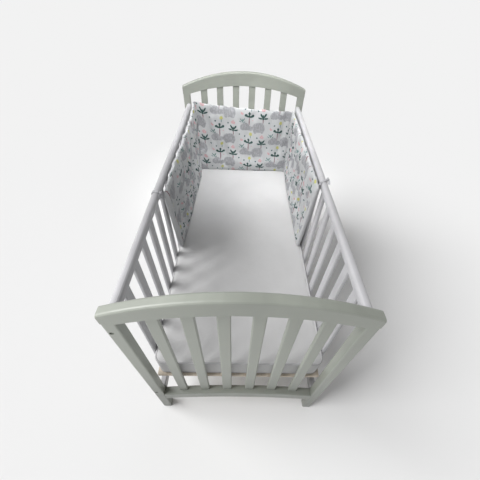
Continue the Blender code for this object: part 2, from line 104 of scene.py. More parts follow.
lens = bpy.data.cameras.new("camera")
lens.sensor_width = 36.0
lens.lens = FOCAL / PICTURE * lens.sensor_width
lens.shift_x = (PICTURE / 2 - OPTICAL_MIDDLE[0]) / PICTURE
lens.shift_y = (OPTICAL_MIDDLE[1] - PICTURE / 2) / PICTURE
lens.clip_start = 0.05
camera = placed("camera", lens)
turn = Matrix((rolled_right, -rolled_down, -ahead)).transposed()
camera.matrix_world = Matrix.Translation(CAMERA_AT) @ turn.to_4x4()
bpy.context.scene.camera = camera
print("lens in mm:", round(lens.lens, 2))

# %% [markdown]
# ## Floor and light
#
# The studio is plain: one pale floor that reaches past the view, an even white sky and a wide
# soft sun from the upper left. The sun's angle sets how soft the shadow's edge is. A sun lights
# the far floor as much as the near floor, so the ground stays even. Two small softboxes with a
# narrow spread add what a sun can't, light that stays in one place: one hangs over the cot and
# points at the head end, a weak one stands at the left of the near corner.

# %% Floor and light
FLOOR_SIZE = 120.0
SKY_STRENGTH = 0.36
SUN_FROM = Vector((-1.00, -0.02, 1.0))
SUN_STRENGTH = 3.33
SUN_ANGLE = math.radians(42)
BOX_AT = Vector((0.05, -0.45, 2.40))
BOX_AIM = Vector((0.0, 0.50, 0.75))
BOX_POWER = 2.7
BOX_SIZE = 0.5
BOX_SPREAD = math.radians(36)
SIDE_BOX_AT = Vector((-1.10, -1.25, 1.60))
SIDE_BOX_AIM = Vector((-0.22, -0.62, 0.70))
SIDE_BOX_POWER = 0.55
SIDE_BOX_SIZE = 0.4


def aimed(name, light, place, target):
    facing = (target - place).to_track_quat("-Z", "Y").to_matrix().to_4x4()
    placed(name, light).matrix_world = Matrix.Translation(place) @ facing


sun = bpy.data.lights.new("wide_sun", "SUN")
sun.energy = SUN_STRENGTH
sun.angle = SUN_ANGLE
aimed("wide_sun", sun, SUN_FROM, Vector((0.0, 0.0, 0.0)))

for name, power, size, place, target in (
    ("softbox", BOX_POWER, BOX_SIZE, BOX_AT, BOX_AIM),
    ("side_softbox", SIDE_BOX_POWER, SIDE_BOX_SIZE, SIDE_BOX_AT, SIDE_BOX_AIM),
):
    box = bpy.data.lights.new(name, "AREA")
    box.energy = power
    box.size = size
    box.spread = BOX_SPREAD
    aimed(name, box, place, target)

world = bpy.data.worlds.new("studio")
world.use_nodes = True
sky = world.node_tree.nodes["Background"].inputs
sky["Color"].default_value = (1.0, 1.0, 1.0, 1.0)
sky["Strength"].default_value = SKY_STRENGTH
bpy.context.scene.world = world
bpy.context.scene.view_settings.view_transform = "Standard"

bpy.ops.object.select_all(action="DESELECT")
bpy.ops.mesh.primitive_plane_add(size=FLOOR_SIZE)
floor = bpy.context.object
floor.name = "floor"

# %% [markdown]
# ## A small kit for materials
#
# A material is a graph of nodes. Small helpers keep it readable. One starts a material and hands
# over its main shader, another adds a node, sets it and wires it in one call, and the rest name
# what a material here is made of: a mix, some noise, a range, a bump, a shade of a colour.

# %% Helpers for materials


def new_material(name, color, roughness):
    made = bpy.data.materials.new(name)
    made.use_nodes = True
    shader = made.node_tree.nodes["Principled BSDF"]
    shader.inputs["Base Color"].default_value = (*color, 1.0)
    shader.inputs["Roughness"].default_value = roughness
    return made, made.node_tree, shader


def add(tree, kind, inputs=None, **settings):
    """Adds a node. An input may be a value or another node's output."""
    made = tree.nodes.new("ShaderNode" + kind)
    for name, value in settings.items():
        setattr(made, name, value)
    for socket, value in (inputs or {}).items():
        if isinstance(value, bpy.types.NodeSocket):
            tree.links.new(value, made.inputs[socket])
        else:
            made.inputs[socket].default_value = value
    return made


def math_node(tree, operation, *values):
    return add(tree, "Math", dict(enumerate(values)), operation=operation).outputs[0]


def vector_node(tree, operation, *values):
    return add(tree, "VectorMath", dict(enumerate(values)), operation=operation).outputs[0]


def mixed(tree, share, first, second, blend="MIX"):
    """One colour over another, by a share from 0 to 1."""
    inputs = {0: share, 6: first, 7: second}
    return add(tree, "Mix", inputs, data_type="RGBA", blend_type=blend).outputs[2]


def noise(tree, vector, scale, detail=2.0, roughness=0.5):
    made = add(tree, "TexNoise", {"Vector": vector, "Scale": scale, "Detail": detail, "Roughness": roughness})
    return made.outputs[0]


def ranged(tree, value, low, high, out_low=0.0, out_high=1.0):
    """Turns the range from low to high smoothly into another one, from 0 to 1 if none is given."""
    inputs = {"Value": value, 1: low, 2: high, 3: out_low, 4: out_high}
    return add(tree, "MapRange", inputs, interpolation_type="SMOOTHSTEP").outputs[0]


def bump(tree, height, strength, distance, normal=None):
    inputs = {"Height": height, "Strength": strength, "Distance": distance}
    if normal is not None:
        inputs["Normal"] = normal
    return add(tree, "Bump", inputs).outputs[0]


def waves(tree, value, scale):
    return math_node(tree, "SINE", math_node(tree, "MULTIPLY", value, scale))


def own_place(tree):
    """Where a point lies on its object, in metres."""
    return add(tree, "TexCoord").outputs["Object"]


def squeezed(tree, place, scale):
    return add(tree, "Mapping", {"Vector": place, "Scale": scale}).outputs[0]


def shade(color, share=1.0):
    """A colour with its alpha, made darker or paler by a share."""
    return (*(share * part for part in color), 1.0)


# %% [markdown]
# ## Painted wood
#
# The cot is painted wood. Paint hides the grain's colour but not its lines, and a roller leaves
# a fine orange peel. The grain runs along each bar, so a material is made for each way: the
# noise is squeezed across the bar and drawn out along it. Hands rub the edges, so the paint is
# thinner and paler there: the Bevel node's softened normal differs from the true one near an
# edge, and that difference is the mask. Towards the floor the colour is darkened, a painted
# shade for the dimmer light low down.

# %% Paint the floor and the wood
SAGE = (0.300, 0.317, 0.280)
WHITE = (0.450, 0.448, 0.463)
BARE_WOOD = (0.560, 0.500, 0.420)
DARK_WOOD = (0.440, 0.370, 0.290)
PALE_FLOOR = (0.800, 0.800, 0.800)
ACROSS = 90.0
ALONG = 4.0
EDGE_RUB = 0.0022
RUBBED_PALER = 1.22
# The next three numbers set the painted shade near the floor: where it starts, how much of it, how dark.
PAINTED_SHADE_BELOW = 0.55
PAINTED_SHADE_MOST = 0.85
PAINTED_SHADE_DARKER = 0.60
GRAIN_SHOWS = 0.16
PEEL_SCALE = 900.0


def painted_wood(name, color, axis):
    made, tree, shader = new_material(name, color, 0.42)
    place = own_place(tree)
    stretch = [ACROSS, ACROSS, ACROSS]
    stretch[axis] = ALONG
    grain = noise(tree, squeezed(tree, place, stretch), 1.0, 4.0, 0.6)
    peel = noise(tree, place, PEEL_SCALE, 1.0)
    cloud = noise(tree, place, 7.0, 3.0)
    tone = mixed(tree, ranged(tree, cloud, 0.35, 0.65), shade(color, 0.93), shade(color, 1.05))
    in_line = math_node(tree, "MULTIPLY", ranged(tree, grain, 0.42, 0.62), GRAIN_SHOWS)
    lined = mixed(tree, in_line, tone, shade(color, 0.93))
    rounded = add(tree, "Bevel", {"Radius": EDGE_RUB}, samples=4).outputs[0]
    flat = add(tree, "NewGeometry").outputs["Normal"]
    turned = add(tree, "VectorMath", {0: rounded, 1: flat}, operation="DOT_PRODUCT").outputs["Value"]
    uneven = ranged(tree, grain, 0.35, 0.60, 0.2, 0.7)
    rubbed = math_node(tree, "MULTIPLY", ranged(tree, turned, 0.99, 0.90), uneven)
    # Painted shade: below a height the colour is mixed towards a darker copy, most at the floor.
    height = add(tree, "SeparateXYZ", {0: place}).outputs["Z"]
    painted_shade_share = ranged(tree, height, PAINTED_SHADE_BELOW, 0.0, 0.0, PAINTED_SHADE_MOST)
    coat = mixed(tree, rubbed, lined, shade(color, RUBBED_PALER))
    coat = mixed(tree, painted_shade_share, coat, shade(color, PAINTED_SHADE_DARKER))
    tree.links.new(coat, shader.inputs["Base Color"])
    tree.links.new(ranged(tree, cloud, 0.3, 0.7, 0.36, 0.50), shader.inputs["Roughness"])
    lines = bump(tree, grain, 0.25, 0.0006)
    tree.links.new(bump(tree, peel, 0.10, 0.0002, lines), shader.inputs["Normal"])
    shader.inputs["Coat Weight"].default_value = 0.12
    shader.inputs["Coat Roughness"].default_value = 0.30
    return made


def bare_board(name):
    made, tree, shader = new_material(name, BARE_WOOD, 0.62)
    grain = noise(tree, squeezed(tree, own_place(tree), (60.0, 3.0, 60.0)), 1.0, 5.0, 0.65)
    color = mixed(tree, ranged(tree, grain, 0.35, 0.68), shade(BARE_WOOD), shade(DARK_WOOD))
    tree.links.new(color, shader.inputs["Base Color"])
    tree.links.new(bump(tree, grain, 0.3, 0.0005), shader.inputs["Normal"])
    return made


floor_paint, tree, shader = new_material("pale_floor", PALE_FLOOR, 0.9)
shader.inputs["Specular IOR Level"].default_value = 0.0
floor.data.materials.append(floor_paint)

wood_looks = {
    (slot, axis): painted_wood(f"{slot}_{'xyz'[axis]}", color, axis)
    for slot, color in (("sage_paint", SAGE), ("white_paint", WHITE))
    for axis in range(3)
}
board_look = bare_board("plain_board")
painted = 0
for name, node in nodes.items():
    low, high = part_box(name)
    size = [high[k] - low[k] for k in range(3)]
    if name == "mattress_board":
        look = board_look
    elif name.startswith(("foot_", "head_")):
        look = wood_looks["sage_paint", size.index(max(size))]
    elif name.startswith("side_"):
        look = wood_looks["white_paint", size.index(max(size))]
    else:
        continue
    node.data.materials.clear()
    node.data.materials.append(look)
    painted += 1
print("wooden nodes with a finish:", painted)

# %% [markdown]
# ## The bumper: its plan
#
# The real bumper is two long strips of printed cotton with wadding between them, sewn together
# round the edge and turned. It stands on its lower edge, goes up one side, round the head end
# and down the other side. Its shape is set out as stations along the upper and the lower edge,
# and a smooth curve through them gives every place between.

# %% Stations of the bumper
# x, y and height of the upper edge, x and y of the lower edge, how full the pad is there
STATIONS = (
    (-0.2865, -0.172, 0.832, -0.287, -0.092, 0.85),
    (-0.2865, -0.060, 0.852, -0.285, -0.010, 1.00),
    (-0.2865, 0.060, 0.853, -0.282, 0.080, 1.00),
    (-0.2860, 0.180, 0.847, -0.279, 0.190, 1.00),
    (-0.2850, 0.300, 0.850, -0.275, 0.300, 0.95),
    (-0.2855, 0.410, 0.848, -0.270, 0.405, 0.95),
    (-0.2860, 0.510, 0.855, -0.268, 0.500, 0.90),
    (-0.2840, 0.575, 0.870, -0.272, 0.565, 0.70),
    (-0.2720, 0.610, 0.880, -0.264, 0.598, 0.40),
    (-0.225, 0.614, 0.866, -0.222, 0.604, 0.75),
    (-0.130, 0.612, 0.859, -0.130, 0.604, 1.00),
    (-0.020, 0.611, 0.850, -0.020, 0.603, 1.00),
    (0.090, 0.612, 0.844, 0.090, 0.603, 1.00),
    (0.190, 0.613, 0.839, 0.190, 0.604, 0.95),
    (0.245, 0.614, 0.838, 0.245, 0.604, 0.70),
    (0.2820, 0.606, 0.842, 0.284, 0.598, 0.35),
    (0.2860, 0.560, 0.848, 0.288, 0.555, 0.70),
    (0.2865, 0.470, 0.851, 0.287, 0.470, 0.95),
    (0.2865, 0.360, 0.854, 0.286, 0.360, 1.00),
    (0.2865, 0.240, 0.852, 0.286, 0.245, 1.00),
    (0.2865, 0.120, 0.855, 0.286, 0.130, 1.00),
    (0.2865, 0.000, 0.853, 0.285, 0.020, 1.00),
    (0.2855, -0.128, 0.854, 0.282, -0.072, 0.85),
)
TABLE = np.array(STATIONS)


def stations_at(at):
    """Smooth stations at real numbers along the bumper, one row for each."""
    last = len(TABLE) - 1
    at = np.clip(at, 0.0, last)
    i = np.minimum(at.astype(int), last - 1)
    u = (at - i)[:, None]
    a, b, c, d = (TABLE[np.clip(i + step, 0, last)] for step in (-1, 0, 1, 2))
    return b + 0.5 * u * (c - a + u * (2 * a - 5 * b + 4 * c - d + u * (3 * (b - c) + d - a)))


fine = np.linspace(0.0, len(TABLE) - 1, 40 * (len(TABLE) - 1) + 1)
fine_rows = stations_at(fine)
steps = np.hypot(np.diff(fine_rows[:, 0]), np.diff(fine_rows[:, 1]))
fine_runs = np.concatenate(([0.0], np.cumsum(steps)))
PAD_LENGTH = fine_runs[-1]
print("the bumper runs for", round(PAD_LENGTH, 3), "m")

# %% [markdown]
# ## The bumper: its folds
#
# A pad that is longer than the sides it lines gathers into upright folds. They crowd towards
# the far corners. Each one is a shallow furrow pressed into the soft inner face: a place along
# the run, a width, a depth, a lean and the part of the height that it takes.

# %% Folds
Crease = namedtuple("Crease", "run half_width sink lean low high")
CREASES = (
    (0.020, 0.012, 0.004, 0.010, 0.35, 1.05),
    (0.062, 0.020, 0.005, -0.030, 0.10, 1.00),
    (0.105, 0.014, 0.004, 0.040, -0.05, 0.70),
    (0.150, 0.018, 0.006, -0.020, 0.20, 1.05),
    (0.188, 0.013, 0.005, 0.016, -0.05, 1.05),
    (0.215, 0.010, 0.007, -0.010, -0.05, 1.05),
    (0.238, 0.010, 0.008, 0.008, -0.05, 0.90),
    (0.259, 0.009, 0.008, -0.006, 0.10, 1.05),
    (0.279, 0.009, 0.009, 0.005, -0.05, 1.05),
    (0.299, 0.009, 0.008, -0.003, -0.05, 0.95),
    (0.318, 0.008, 0.009, 0.004, -0.05, 1.05),
    (0.337, 0.008, 0.007, 0.000, -0.05, 1.05),
    (0.405, 0.022, 0.003, 0.060, 0.30, 1.05),
    (0.455, 0.018, 0.003, -0.050, -0.05, 0.55),
    (0.520, 0.024, 0.003, 0.070, 0.45, 1.05),
    (0.575, 0.020, 0.003, -0.060, -0.05, 0.60),
    (0.618, 0.016, 0.004, 0.030, 0.20, 1.05),
    (0.662, 0.009, 0.006, -0.004, -0.05, 1.05),
    (0.684, 0.010, 0.006, 0.006, -0.05, 0.95),
    (0.707, 0.010, 0.007, -0.008, 0.05, 1.05),
    (0.731, 0.010, 0.006, 0.008, -0.05, 0.90),
    (0.756, 0.012, 0.005, -0.010, 0.15, 1.05),
    (0.785, 0.012, 0.006, 0.012, -0.05, 0.85),
    (0.818, 0.014, 0.005, -0.020, 0.25, 1.05),
    (0.858, 0.014, 0.005, 0.030, -0.05, 0.80),
    (0.905, 0.018, 0.004, -0.030, 0.20, 1.05),
    (0.955, 0.016, 0.004, 0.030, 0.00, 1.05),
)
CREASE_SCALE = 1.8
CREASE_FADE = 0.15
CREASE_AT_SEAM = 0.25


def creases_at(run, height):
    """How far the inner face is pressed in, and how near a fold is, at shares of run and height."""
    depth = np.zeros_like(run)
    near = np.zeros_like(run)
    for row in map(Crease._make, CREASES):
        away = (run - row.run) * PAD_LENGTH - row.lean * (height - 0.5)
        ends = np.minimum((height - row.low) / CREASE_FADE, (row.high - height) / CREASE_FADE)
        ends = np.clip(ends, 0.0, 1.0)
        depth += row.sink * ends * np.exp(-((away / row.half_width) ** 2))
        near = np.maximum(near, ends * np.exp(-((away / (1.5 * row.half_width)) ** 2)))
    return CREASE_SCALE * depth, near


print("folds:", len(CREASES))

# %% [markdown]
# ## The bumper: two faces on one grid
#
# Both cloth faces are laid out on the same grid and share their rim, so the shell is closed.
# The rows crowd at the seams: there the pad narrows to a soft rolled edge. Away from the seams
# it swells like a cushion. Its outer face lies against the slats and the rails, and between two
# folds the whole pad bows a little away from them, so its top edge waves.

# %% Shape of the bumper
PAD_THICK = 0.025
SEAM_THICK = 0.007
SEAM_REACH = 0.045
PAD_CORNER = 0.020
INNER_LOFT = 0.45
WAVE = 0.0100
WAVE_LOW = 0.35
SOFT_WAVE = 0.0022
EDGE_LIFT = 0.0018
PUCKER = 0.0012
PUCKER_REACH = 0.016
GATHER = 0.0090
GATHER_SHARP = 0.34
WANDER = 0.006
WANDER_WAVE = 0.31
SOFT_WANDER = 0.004
CALM_END = 0.06
PAD_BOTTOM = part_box("bumper_pad")[0][2]
ROLL_STEPS = (0.0, 0.0004, 0.0012, 0.0024, 0.0040)
SLAT_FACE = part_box("side_right_slat_01")[0][0] - 0.0003
RAIL_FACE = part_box("side_right_top_rail")[0][0] - 0.0028
HEAD_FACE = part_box("head_post_left")[0][1] - 0.0003
RAIL_CLEAR_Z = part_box("side_right_top_rail")[0][2] - 0.043
RAIL_CLEAR_RAMP = 0.060
dice = np.random.default_rng(7)


def ripple(count, longest, shortest):
    """A smooth uneven wave between about -1 and 1, as a function of a length."""
    waves = np.geomspace(longest, shortest, count)
    phases = dice.uniform(0.0, 2 * math.pi, count)

    def at(length):
        total = sum(np.sin(2 * math.pi * length / wave + phase) for wave, phase in zip(waves, phases))
        return total / math.sqrt(count)

    return at


edge_ripple = ripple(4, 0.110, 0.045)
pucker_ripple = ripple(5, 0.026, 0.013)
soft_ripple = ripple(6, 0.160, 0.050)
gather_ripple = ripple(4, 0.075, 0.034)


def crown(distance, reach):
    near = np.clip(distance / reach, 0.0, 1.0)
    return np.sqrt(near * (2.0 - near))


def crowding(run):
    """How much spare length is gathered, from 0 to 1, at a share of the run."""
    places = (0.0, 0.10, 0.19, 0.345, 0.37, 0.62, 0.645, 0.72, 0.86, 1.0)
    return np.interp(run, places, (0.30, 0.55, 1.0, 1.0, 0.05, 0.05, 1.0, 1.0, 0.75, 0.35))


def keep_clear(points):
    """Holds points off the slats, the rails, the head frame and the mattress."""
    share = np.clip((RAIL_CLEAR_Z - points[..., 2]) / RAIL_CLEAR_RAMP, 0.0, 1.0)
    limit = RAIL_FACE * (1.0 - share) + SLAT_FACE * share
    points[..., 0] = np.clip(points[..., 0], -limit, limit)
    points[..., 1] = np.minimum(points[..., 1], HEAD_FACE)
    points[..., 2] = np.maximum(points[..., 2], PAD_BOTTOM)
    return points


print("edge at", round(SEAM_THICK * 1000), "mm, middle at", round(PAD_THICK * 1000), "mm")

# %% [markdown]
# ## The bumper: lay out its faces
#
# One function gives the points of either face. It reads the stations, rounds the corners and
# the seams, adds the crown and, on the inner face only, presses in the folds. Wherever the spare
# cloth crowds, sharp little upright valleys, the gathers, are added between the folds. A plane
# could be sculpted instead, but a function keeps both faces on one grid, so that they share a rim.

# %% Lay out both faces


def with_rolls(length, count):
    """Even steps over a length with finer ones at both ends."""
    first = ROLL_STEPS[-1]
    middle = np.linspace(first, length - first, count - 2 * (len(ROLL_STEPS) - 1) + 1)
    return np.concatenate((ROLL_STEPS[:-1], middle, length - np.array(ROLL_STEPS[-2::-1])))


def pad_face(inner, runs, rows):
    """The points of one face, columns by rows by 3, for places along the run and a count of rows."""
    numbers = np.interp(runs, fine_runs, fine)
    here = stations_at(numbers)
    tangent = stations_at(numbers + 0.02)[:, :2] - stations_at(numbers - 0.02)[:, :2]
    tangent /= np.linalg.norm(tangent, axis=1)[:, None]
    inward = np.stack((tangent[:, 1], -tangent[:, 0]), axis=1)
    end_gap = np.minimum(runs, PAD_LENGTH - runs)
    cut = PAD_CORNER - np.sqrt(np.maximum(PAD_CORNER**2 - np.maximum(PAD_CORNER - end_gap, 0.0) ** 2, 0.0))
    calm = crown(end_gap, CALM_END)
    still = calm[:, None]
    top = here[:, 2] + EDGE_LIFT * edge_ripple(runs) * calm - EDGE_LIFT
    full_height = top - PAD_BOTTOM
    side = np.array([with_rolls(length, rows) for length in full_height - 2 * cut])
    z = PAD_BOTTOM + cut[:, None] + side
    height = (z - PAD_BOTTOM) / full_height[:, None]
    x = here[:, 3:4] + (here[:, 0:1] - here[:, 3:4]) * height
    y = here[:, 4:5] + (here[:, 1:2] - here[:, 4:5]) * height
    seam_gap = np.minimum(side, side[:, -1:] - side)
    fill = crown(seam_gap, 2 * SEAM_REACH) * crown(end_gap, SEAM_REACH)[:, None] * here[:, 5:6]
    radius = SEAM_THICK / 2
    edge = radius * np.minimum(crown(seam_gap, radius), crown(end_gap, radius)[:, None])
    swell = (PAD_THICK - SEAM_THICK) / 2 * fill
    run = np.broadcast_to((runs / PAD_LENGTH)[:, None], z.shape)
    length = run * PAD_LENGTH
    sink, near = creases_at(run, height)
    crowd = crowding(run)
    wave = WAVE * (1.0 - near) * crowd * (WAVE_LOW + (1.0 - WAVE_LOW) * height) * still
    wave += SOFT_WAVE * (1.0 + soft_ripple(length + 0.15 * height)) * (1.0 - crowd) * still * height
    wander = WANDER * np.sin(2 * math.pi * (1.1 * height + length / WANDER_WAVE))
    wander = wander + SOFT_WANDER * soft_ripple(2.5 * height + length)
    valley = np.exp(-((gather_ripple(length + wander) / GATHER_SHARP) ** 2))
    between_seams = np.clip(np.sin(math.pi * (0.12 + 0.8 * height)), 0.0, 1.0)
    gather = GATHER * valley * crowd * between_seams * still
    pucker = PUCKER * pucker_ripple(length + 0.04 * height) * np.exp(-seam_gap / PUCKER_REACH) * still
    if inner:
        soft = np.minimum(1.0, CREASE_AT_SEAM + fill) * crown(seam_gap, 0.02)
        out = edge + swell * (1.0 + INNER_LOFT) - (sink + gather) * soft * edge / radius + wave + pucker
    else:
        out = -(edge + swell) + wave + pucker
    points = np.stack((x + inward[:, 0:1] * out, y + inward[:, 1:2] * out, z), axis=-1)
    return keep_clear(points)


COLUMNS = 620
ROWS = 52
runs = with_rolls(PAD_LENGTH, COLUMNS)
numbers = np.interp(runs, fine_runs, fine)
inner_face = pad_face(True, runs, ROWS)
outer_face = pad_face(False, runs, ROWS)
print("columns and rows:", inner_face.shape[:2])

# %% [markdown]
# ## The bumper: let the cloth settle
#
# Real folds come from cloth that is longer than the place it lies in. Blender's cloth solver
# makes them: the sheet is held at its seams, wants to be some hundredths longer, most of all
# near the far corners, and the wadding presses on it from behind. The solver works on a coarser
# copy of the inner face, and what it moved is spread smoothly over the fine grid. A cap keeps
# every point near its place, so the pad stays the size that it is.

# %% Cloth pass over the inner face
EXTRA_LEAST = 0.006
EXTRA_MOST = 0.180
CLOTH_SETTINGS = {
    "quality": 6,
    "mass": 0.15,
    "air_damping": 1.0,
    "tension_stiffness": 20.0,
    "compression_stiffness": 20.0,
    "shear_stiffness": 6.0,
    "bending_stiffness": 3.0,
    "pin_stiffness": 0.5,
    "shrink_min": -EXTRA_LEAST,
    "shrink_max": -EXTRA_MOST,
    "use_pressure": True,
    "uniform_pressure_force": 1.0,
}
FRAMES = 24
HELD_BY_WADDING = 0.14
SEAM_LINES = 5
PAD_HEIGHT = 0.4
MOVE_CAP = 0.016
SOLVER_COLUMNS = 300
SOLVER_ROWS = 34


def quads_on(grid):
    """The grid's values at the corners of the four-cornered faces between neighbours."""
    corners = (grid[:-1, :-1], grid[:-1, 1:], grid[1:, 1:], grid[1:, :-1])
    return np.stack(corners, axis=-1).reshape(-1, 4)


def sheet_object(name, points):
    made = bpy.data.meshes.new(name)
    numbered = np.arange(points.size // 3).reshape(points.shape[:2])
    made.from_pydata(points.reshape(-1, 3).tolist(), [], quads_on(numbered).tolist())
    return placed(name, made)


def weigh(sheet, name, weights):
    group = sheet.vertex_groups.new(name=name)
    for number, weight in enumerate(np.round(weights.reshape(-1), 2)):
        group.add([number], float(weight), "REPLACE")
    return name


def settled(points, held, slack):
    """The points of a sheet after the solver has let it buckle and swell."""
    sheet = sheet_object("settling", points)
    cloth = sheet.modifiers.new("settle", "CLOTH")
    for name, value in CLOTH_SETTINGS.items():
        setattr(cloth.settings, name, value)
    cloth.settings.vertex_group_mass = weigh(sheet, "held", held)
    cloth.settings.vertex_group_shrink = weigh(sheet, "slack", slack)
    cloth.settings.effector_weights.gravity = 0.0
    cloth.collision_settings.use_collision = False
    cloth.point_cache.frame_start = 1
    cloth.point_cache.frame_end = FRAMES
    for number in range(1, FRAMES + 1):
        bpy.context.scene.frame_set(number)
    seen = sheet.evaluated_get(bpy.context.evaluated_depsgraph_get())
    moved = np.zeros(points.size)
    seen.to_mesh().vertices.foreach_get("co", moved)
    seen.to_mesh_clear()
    bpy.data.objects.remove(sheet, do_unlink=True)
    bpy.context.scene.frame_set(1)
    return moved.reshape(points.shape)


def smooth_spread(wanted, known):
    """A matrix that reads values known at some places smoothly at the wanted ones."""
    i = np.clip(np.searchsorted(known, wanted, side="right") - 1, 0, len(known) - 2)
    u = np.clip((wanted - known[i]) / (known[i + 1] - known[i]), 0.0, 1.0)
    spread = np.zeros((len(wanted), len(known)))
    rows = np.arange(len(wanted))
    parts = (
        0.5 * (-u + 2 * u**2 - u**3),
        0.5 * (2 - 5 * u**2 + 3 * u**3),
        0.5 * (u + 4 * u**2 - 3 * u**3),
        0.5 * (-(u**2) + u**3),
    )
    for step, part in zip((-1, 0, 1, 2), parts):
        np.add.at(spread, (rows, np.clip(i + step, 0, len(known) - 1)), part)
    return spread


solver_runs = with_rolls(PAD_LENGTH, SOLVER_COLUMNS)
start = pad_face(True, solver_runs, SOLVER_ROWS)
slack = np.repeat(crowding(solver_runs / PAD_LENGTH)[:, None], start.shape[1], axis=1)
held = np.full(start.shape[:2], HELD_BY_WADDING)
held[:SEAM_LINES, :] = held[-SEAM_LINES:, :] = 1.0
held[:, :SEAM_LINES] = held[:, -SEAM_LINES:] = 1.0
move = settled(start, held, slack) - start
height_coarse = with_rolls(PAD_HEIGHT, SOLVER_ROWS) / PAD_HEIGHT
height_fine = with_rolls(PAD_HEIGHT, ROWS) / PAD_HEIGHT
over_runs = smooth_spread(runs, solver_runs)
over_rows = smooth_spread(height_fine, height_coarse)
move = np.einsum("ik,klc,jl->ijc", over_runs, move, over_rows)
far = np.linalg.norm(move, axis=2, keepdims=True)
print("moved by up to", round(float(far.max()) * 1000, 2), "mm before the cap")
inner_face = keep_clear(inner_face + move * (MOVE_CAP / (MOVE_CAP + far)))

# %% [markdown]
# ## The bumper: one closed mesh, and the print's map
#
# The print is laid on the cloth in metres. Along the band it follows the folded surface, so a
# fold swallows a little of it, as it does on real cloth. Upwards it is measured from the top
# seam. The map starts anew behind each far corner, in the fold, where no one sees the join. The
# outer face and a narrow band at each free end are plain.

# %% Build the bumper's mesh
CORNERS = (8, 15)
BANDS = (0.020, 0.017)
# side of the cot, place along the panel, height: where a palm of the print stands
PRINT_AT = ((-1, -0.115, 0.845), (0, 0.033, 0.807), (1, 0.100, 0.877))

count_i, count_j = inner_face.shape[:2]
rows_mid = slice(count_j // 4, 3 * count_j // 4)
along = np.linalg.norm(np.diff(inner_face[:, rows_mid], axis=0), axis=2).mean(axis=1)
along = np.concatenate(([0.0], np.cumsum(along)))
up = np.linalg.norm(np.diff(inner_face[:, ::-1], axis=1), axis=2)
up = np.concatenate((np.zeros((count_i, 1)), np.cumsum(up, axis=1)), axis=1)[:, ::-1]
print_start = []
for side, value, z in PRINT_AT:
    on_panel = np.digitize(numbers, CORNERS) - 1 == side
    off = np.abs(inner_face[:, count_j // 2, 0 if side == 0 else 1] - value)
    column = int(np.argmin(np.where(on_panel, off, np.inf)))
    row = int(np.argmin(np.abs(inner_face[column, :, 2] - z)))
    print_start.append((along[column], up[column, row] + inner_face[column, row, 2] - z))

shared = np.zeros((count_i, count_j), dtype=bool)
shared[[0, -1], :] = True
shared[:, [0, -1]] = True
first = np.arange(count_i * count_j).reshape(count_i, count_j)
second = first.copy()
second[~shared] = count_i * count_j + np.arange((~shared).sum())
points = np.concatenate((inner_face.reshape(-1, 3), outer_face[~shared]))
faces = []
flat = []
columns, lines = (quads_on(part) for part in np.indices((count_i, count_j)))
start = np.array(print_start)[np.digitize(numbers[columns].mean(axis=1), CORNERS)]
for index, order in ((first, [0, 3, 2, 1]), (second, [0, 1, 2, 3])):
    i, j = columns[:, order], lines[:, order]
    faces.append(index[i, j])
    flat.append(np.stack((along[i] - start[:, 0:1], start[:, 1:2] - up[i, j]), axis=-1))

mesh = bpy.data.meshes.new("bumper_cloth")
mesh.from_pydata(points.tolist(), [], np.concatenate(faces).tolist())
pad = placed("bumper_cloth", mesh)
mesh.uv_layers.new(name="print").data.foreach_set("uv", np.concatenate(flat).reshape(-1))
of_face = runs[columns]
slots = np.ones(len(mesh.polygons), dtype=int)
slots[: len(faces[0])] = (of_face.max(axis=1) < BANDS[0]) | (PAD_LENGTH - of_face.min(axis=1) < BANDS[1])
mesh.polygons.foreach_set("material_index", slots)
mesh.shade_smooth()
mesh.update()
print("bumper triangles:", 2 * len(mesh.polygons))

# %% [markdown]
# ## The print
#
# The cloth is a common nursery print: grey animals, palms, little flowers and dots on white. It
# repeats in columns, and every other column is dropped by half a repeat. One repeat is charted
# here with the simplest shapes. Every leaf, body and petal is one ellipse: a place, a size and a
# turn. A node chain measures how far a point of the cloth is from each and keeps the nearest.

# %% Chart of one repeat
REPEAT_WIDE = 0.175
REPEAT_HIGH = 0.158
REPEAT_LEFT = -0.0635
REPEAT_LOW = -0.131

# x, y, half width, half height in millimetres, turn in degrees
GREY = (
    (56, -60, 35, 29, 0),
    (74, -68, 20, 27, 0),
    (38, -72, 15, 23, 0),
    (57, -76, 31, 15, 0),
    (37, -86, 10, 12, 0),
    (78, -86, 11, 13, 0),
    (-23, -59, 22, 21, 0),
    (-36, -67, 18, 19, 12),
    (-22, -76, 14, 10, 0),
    (6, -71, 22, 14, 4),
)
STEMS = (
    (0, -28, 2.8, 28, 0),
    (81, -25, 2.8, 15, 2),
)
GREEN = (
    (0, 15, 6.4, 8.4, 0),
    (0, 4, 3.6, 12, 0),
    (-11, -2, 13, 5.4, -12),
    (11, -2, 13, 5.4, 12),
    (-20, 3, 8.4, 7.4, -35),
    (20, 3, 8.4, 7.4, 35),
    (64, -7, 13.5, 4.8, -26),
    (71, 6, 4.8, 15.5, 28),
    (80, -2, 3.6, 13, 0),
    (91, 7, 4.8, 16.5, -30),
    (97, -8, 13.5, 4.8, 22),
    (80, -12, 5.4, 6.5, 0),
)
SPRIG = (
    (-41, -29, 2.8, 11, 0),
    (-49, -23, 2.6, 9, 34),
    (-33, -22, 2.8, 11, -28),
    (-54, -34, 2.4, 7, 62),
    (-29, -35, 2.4, 7, -62),
)
PINK = (
    (80, -114, 5.0, 5.6, 0),
    (73, -121, 5.0, 5.6, 66),
    (87, -121, 5.0, 5.6, -66),
    (76, -127, 4.4, 5.0, 20),
    (85, -128, 4.4, 5.0, -20),
    (-46, 15, 4.6, 7.5, 15),
    (-40, 11, 4.4, 6.5, -40),
    (21, -22, 3.2, 3.0, 0),
)
YELLOW = (
    (11, -102, 8.2, 7.6, 0),
    (7, -108, 5.4, 5.4, 0),
    (15, -108, 5.4, 5.4, 0),
)
FLOWER_STEM = ((11, -121, 2.2, 10, 0),)
